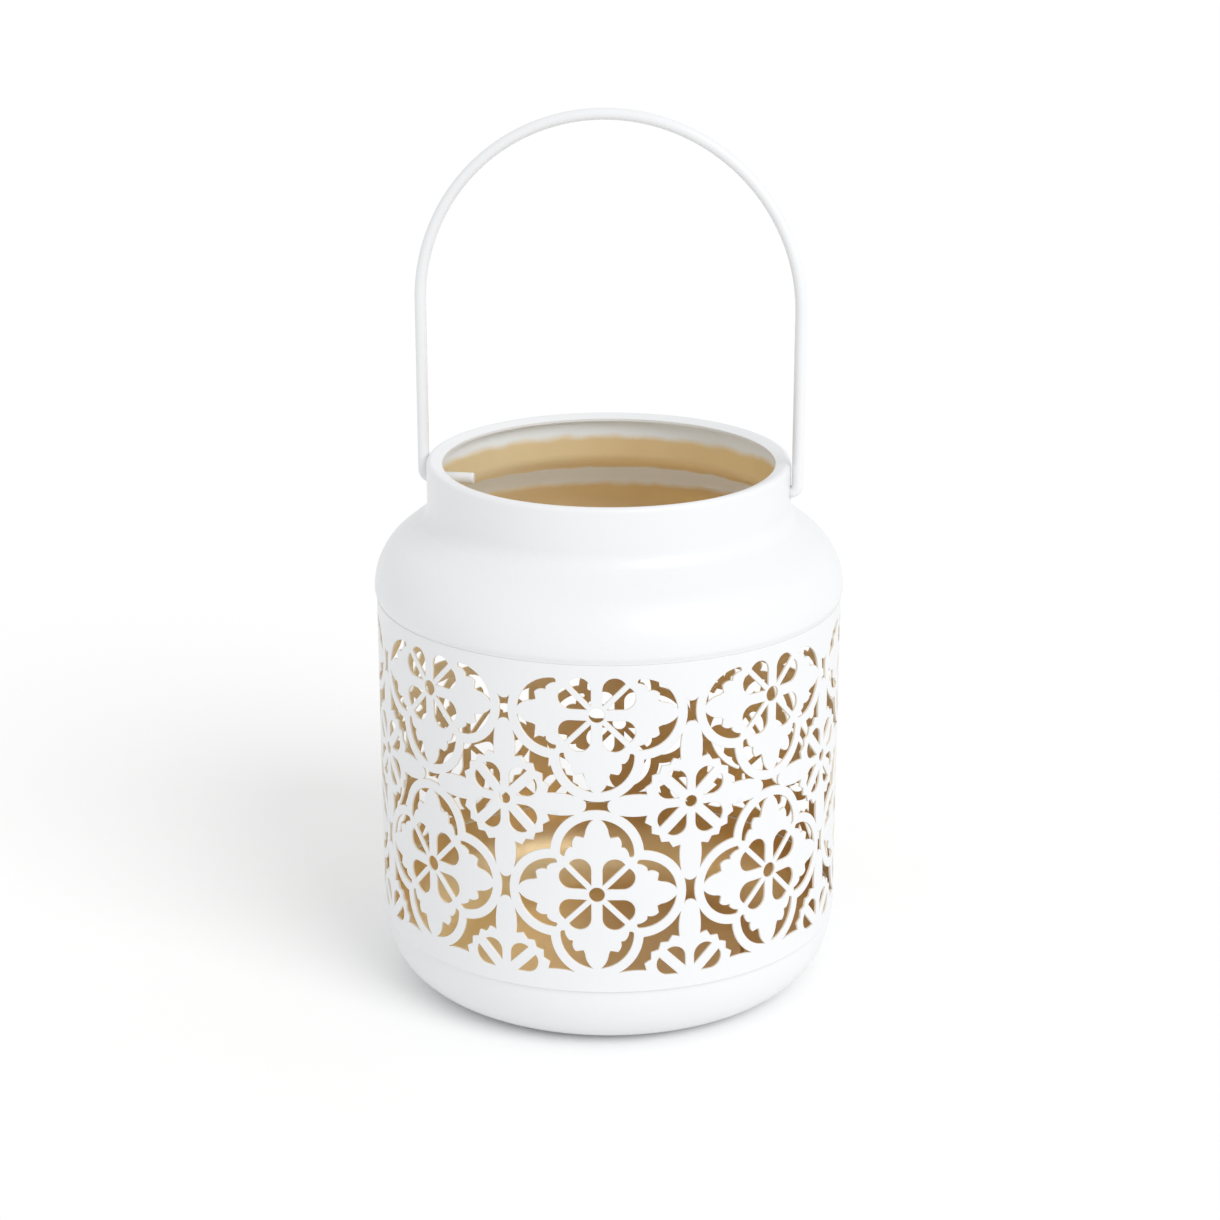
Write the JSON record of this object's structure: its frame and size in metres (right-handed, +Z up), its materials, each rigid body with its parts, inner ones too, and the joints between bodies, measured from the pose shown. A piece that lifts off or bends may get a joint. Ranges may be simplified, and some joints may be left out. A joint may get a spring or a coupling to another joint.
{
  "type": "candle lantern",
  "caption": "Round sheet-metal candle lantern: cut-out flower lattice band, domed shoulder, open mouth with an inward lip and a swinging wire bail; white outside, gold inside.",
  "frame": {"origin": "centre of the foot ring, on the plane the lantern stands on", "axes": "+Z up along the lantern's axis, X along the bail's pivot line, -Y towards the side the picture shows"},
  "size_m": [0.121, 0.121, 0.229],
  "materials": {
    "white_paint": "semi-gloss white paint outside, satin gold paint inside",
    "white_wire": "semi-gloss white paint"
  },
  "bodies": {
    "body": {"base_pan": "white_paint", "punched_band": "white_paint", "shoulder_collar": "white_paint"},
    "bail": {"bail_handle": "white_wire"}
  },
  "joints": [
    {"name": "bail_swing", "type": "hinge", "parent": "body", "child": "bail", "pos_m": [0, 0, 0.13291], "axis": [1, 0, 0], "range_deg": [-112, 112]}
  ]
}
